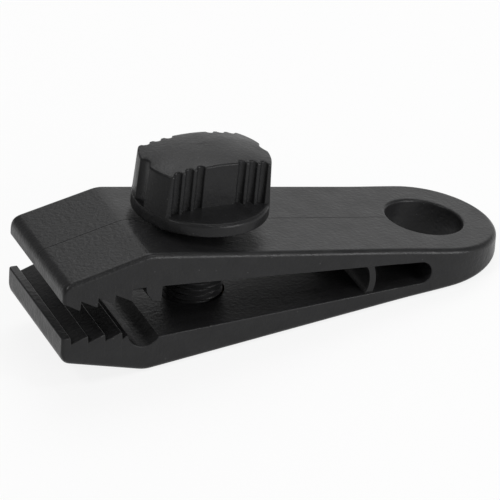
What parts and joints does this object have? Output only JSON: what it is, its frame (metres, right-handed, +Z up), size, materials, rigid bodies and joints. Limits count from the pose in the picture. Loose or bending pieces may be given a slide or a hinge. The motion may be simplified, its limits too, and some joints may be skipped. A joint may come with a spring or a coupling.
{
  "type": "tarp clip",
  "caption": "Black moulded tarp clip: toothed jaws that close on a sheet's edge by a thumb screw, with a rope eyelet at the rear.",
  "frame": {"origin": "where the eyelet's axis meets the lower jaw's outer face, which the clip rests on", "axes": "+X from the jaws to the eyelet, +Z up from the rest face, +Y across the clip"},
  "size_m": [0.0963, 0.031, 0.0371],
  "materials": {
    "clip_nylon": "satin moulded black nylon",
    "knob_nylon": "satin moulded black nylon",
    "bush_brass": "turned brass"
  },
  "bodies": {
    "clip_base": {"lower_jaw": "clip_nylon", "eyelet_block": "clip_nylon", "spring_bow": "clip_nylon", "threaded_bush": "bush_brass"},
    "clip_top": {"upper_jaw": "clip_nylon"},
    "collar": {"thrust_collar": "knob_nylon"},
    "screw": {"thumb_knob": "knob_nylon", "threaded_stem": "knob_nylon"}
  },
  "joints": [
    {"name": "jaw_flex", "type": "hinge", "parent": "clip_base", "child": "clip_top", "pos_m": [-0.01031, 0, 0.00977], "axis": [0, -1, 0], "range_deg": [0, 5], "deforming": ["spring_bow"]},
    {"name": "screw_feed", "type": "slide", "parent": "clip_base", "child": "collar", "axis": [-0.1736, 0, -0.9848], "range_m": [0, 0.00375]},
    {"name": "screw_turn", "type": "hinge", "parent": "collar", "child": "screw", "pos_m": [-0.04596, 0, 0.02094], "axis": [-0.1736, 0, -0.9848], "range_deg": [0, 1080]}
  ],
  "couplings": [
    {"joint": "screw_feed", "follows": "screw_turn", "m_per_rad": 0.00019894},
    {"joint": "jaw_flex", "follows": "screw_turn", "ratio": 0.0046296}
  ]
}
